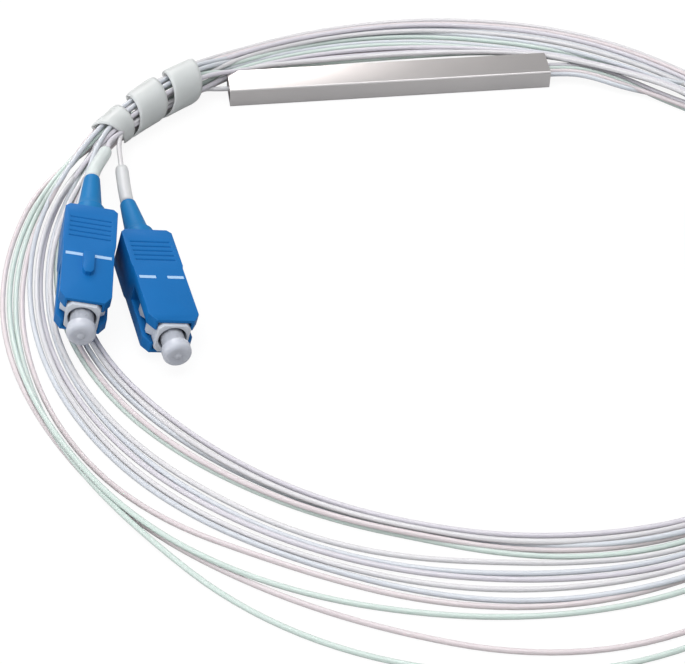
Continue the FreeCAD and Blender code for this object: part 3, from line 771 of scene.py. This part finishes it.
def makeSleeve(end):
    length = sleeve["longer"] if end == "output_1" else sleeve["length"]
    line = lastStretch(lines[end], sleeve["fromBoot"] * mm, (sleeve["fromBoot"] + length) * mm)
    mesh = tubeAlong(end + "_sleeve", line, sleeve["outer"] * mm, sleeve["bore"] * mm,
                     lambda share: 1.0 - 0.08 * smoothStep(1 - min(share, 1 - share) / 0.04))
    finish = finishes["clearSleeve" if end == "output_1" else "sleeve"]
    piece = addObject(end + "_sleeve", mesh, "root", finish)
    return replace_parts(piece, end + "_marker_sleeve")


cap = {"inside": -4.2, "barrel": 2.05, "shoulder": 3.0, "head": 2.55, "end": 5.2, "bore": 1.32, "roof": 2.8,
       "round": 1.0, "nub": 0.6}


# A dust cap: a thin barrel over the ferrule, a wider head with a round edge, and the gate's small nub
def makeCap(end):
    profile = [(cap["roof"], 0.0), (cap["roof"], cap["bore"]), (cap["inside"], cap["bore"]),
               (cap["inside"], cap["barrel"] - 0.1), (cap["inside"] + 0.1, cap["barrel"]),
               (cap["shoulder"] - 0.2, cap["barrel"]), (cap["shoulder"], cap["barrel"] + 0.15)]
    profile += rounding(cap["shoulder"] + 0.2, cap["head"] - 0.2, 0.2, 180, 90, 3)
    profile += rounding(cap["end"] - cap["round"], cap["head"] - cap["round"], cap["round"], 90, 8, 7)
    profile += [(cap["end"] - 0.16, cap["nub"] + 0.3), (cap["end"] - 0.14, cap["nub"]),
                (cap["end"], cap["nub"] - 0.15), (cap["end"], 0.0)]
    mesh = turnedMesh(end + "_cap", profile, connectorPlace(end))
    piece = addObject(end + "_cap", mesh, end + "_cap_body", finishes["cap"])
    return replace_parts(piece, end + "_dust_cap")


spring = {"front": -11.5, "back": -15.5, "radius": 1.82, "wire": 0.25, "core": 0.05, "turns": 5,
          "stepsPerTurn": 20, "wireSides": 12, "flatEnd": 0.08, "keep": 0.75}


# The coil spring behind the ferrule, its end turns closed flat
def makeSpring(end):
    place = connectorPlace(end)
    line = []
    steps = spring["stepsPerTurn"] * spring["turns"]
    low, high = spring["back"] + spring["wire"], spring["front"] - spring["wire"]
    for k in range(steps + 1):
        turn = 2 * math.pi * k / spring["stepsPerTurn"]
        share = min(1.0, max(0.0, (k / steps - spring["flatEnd"]) / (1 - 2 * spring["flatEnd"])))
        line.append(place @ Vector((low + (high - low) * share, spring["radius"] * math.cos(turn),
                                    spring["radius"] * math.sin(turn))))
    mesh = tubeAlong(end + "_spring", line, spring["wire"] * mm, spring["core"] * mm, lambda share: 1.0,
                     spring["wireSides"])
    piece = addObject(end + "_spring", mesh, "root", finishes["spring"])
    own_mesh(piece)
    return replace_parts(piece, end + "_ferrule_spring")


marks = {"along": -11.6, "thick": 0.72, "from": 1.05, "to": 4.05, "proud": 0.03, "top": 3.7}


# Two short painted bars across the face that shows, either side of the key's line
def makeMarks(end):
    place = connectorPlace(end)
    side = -1 if end == "input" else 1
    pieces = []
    for across, label in ((1, "left"), (-1, "right")):
        corners = []
        for along in (marks["along"] - marks["thick"] / 2, marks["along"] + marks["thick"] / 2):
            for out in (marks["from"], marks["to"]):
                for up in (marks["top"] - 0.05, marks["top"] + marks["proud"]):
                    corners.append(place @ Vector((along, across * out, side * up)))
        faces = [(0, 1, 3, 2), (4, 6, 7, 5), (0, 4, 5, 1), (2, 3, 7, 6), (1, 5, 7, 3), (0, 2, 6, 4)]
        mesh = meshFrom(f"{end}_mark_{label}", corners, faces, smooth=False)
        pieces.append(addObject(f"{end}_mark_{label}", mesh, end + "_housing_body",
                                finishes["mark"]))
    return pieces


wrap = {
    "start": 123.9, "thick": 0.45, "lanes": 10, "edgeFall": 0.13, "edgeWidth": 0.35,
    "turnStep": 6, "turns": 944, "rest": 0.05,
    # turning angle, and the strip's right and left edges in mm along the coil
    "edges": ((0, -1.0, 5.8), (43, 0.0, 6.9), (223, 4.06, 11.6), (403, 9.56, 16.3), (583, 13.0, 20.8),
              (763, 19.6, 26.6), (900, 21.2, 24.4), (943, 21.3, 23.3)),
}


# The spiral wrap: one springy strip wound on the bundle, its edges rounded and its ends cut off
def makeWrap():
    corners, faces = [], []
    turns = list(range(0, wrap["turns"], wrap["turnStep"]))
    lanes = wrap["lanes"]
    for psi in turns:
        right, left = between(wrap["edges"], psi)
        ring = []
        for k in range(lanes + 1):
            share = k / lanes
            edge = min(share, 1 - share) * (left - right)
            fall = wrap["edgeFall"] * (1 - smoothStep(edge / wrap["edgeWidth"]))
            ring.append((share, -fall, fall - wrap["thick"]))
        ring = [(share, upper) for share, upper, lower in ring] + [
            (share, lower) for share, upper, lower in reversed(ring)]
        for share, depth in ring:
            along = right + (left - right) * share
            theta = wrap["start"] + math.degrees(along / tie["axis"])
            radius = wrapSize(theta) + depth
            out = wrapRadius(theta) + radius * math.cos(math.radians(psi))
            turn = math.radians(theta)
            place = coil["centre"] + Vector((out * math.cos(turn), out * math.sin(turn), 0))
            place.z = wrapSize(theta) + wrap["rest"] + radius * math.sin(math.radians(psi))
            corners.append(place * mm)
    width = 2 * (lanes + 1)
    for k in range(len(turns) - 1):
        for j in range(width):
            a, b = k * width + j, k * width + (j + 1) % width
            faces.append((a, b, b + width, a + width))
    for k, flip in ((0, False), (len(turns) - 1, True)):
        for j in range(lanes):
            a, b = k * width + j, k * width + j + 1
            c, d = k * width + width - 2 - j, k * width + width - 1 - j
            faces.append((a, b, c, d) if flip else (d, c, b, a))
    mesh = meshFrom("wrap_strip", corners, faces)
    piece = addObject("wrap_strip", mesh, "root", finishes["wrap"])
    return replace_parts(piece, "spiral_wrap")


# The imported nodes' finish, and how far their edges are rounded in mm
nodeFinish = {
    "outer_housing": ("blue", 0.16), "plug_frame": ("frame", 0.08), "ferrule": ("ceramic", 0.0),
    "rear_body": ("rear", 0.0),
    "steel_tube": ("steel", 0.06), "input_potting": ("glue", 0.0), "output_potting": ("glue", 0.0),
    "splitter_chip": ("silica", 0.0), "input_fibre_block": ("silica", 0.0),
    "output_fibre_block": ("silica", 0.0), "input_fibre": ("silica", 0.0), "output_ribbon": ("silica", 0.0),
}


def softenEdges(item, width):
    weld = item.modifiers.new("weld", "WELD")
    weld.merge_threshold = 1e-6
    bevel = item.modifiers.new("edges", "BEVEL")
    bevel.width = width * mm
    bevel.segments = 3
    bevel.limit_method = "ANGLE"
    bevel.angle_limit = math.radians(32)
    bevel.harden_normals = True
    for polygon in item.data.polygons:
        polygon.use_smooth = True


for name, item in nodes.items():
    kind = next((k for k in nodeFinish if name == k or name.endswith("_" + k)), None)
    if kind:
        finish, width = nodeFinish[kind]
        item.data.materials.clear()
        item.data.materials.append(finishes[finish])
        if width:
            softenEdges(item, width)

for end in connectors:
    [makeBoot(end), makeSleeve(end), makeCap(end), makeSpring(end)] + makeMarks(end)
makeWrap()
print("boots, sleeves, caps, marks and wrap made")

for end, cord in cords.items():
    lead = "input_lead" if end == "input" else "output_lead_" + end[-1]
    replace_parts(cord, lead, end + "_tail", "fibre_coil")

print("finishing")
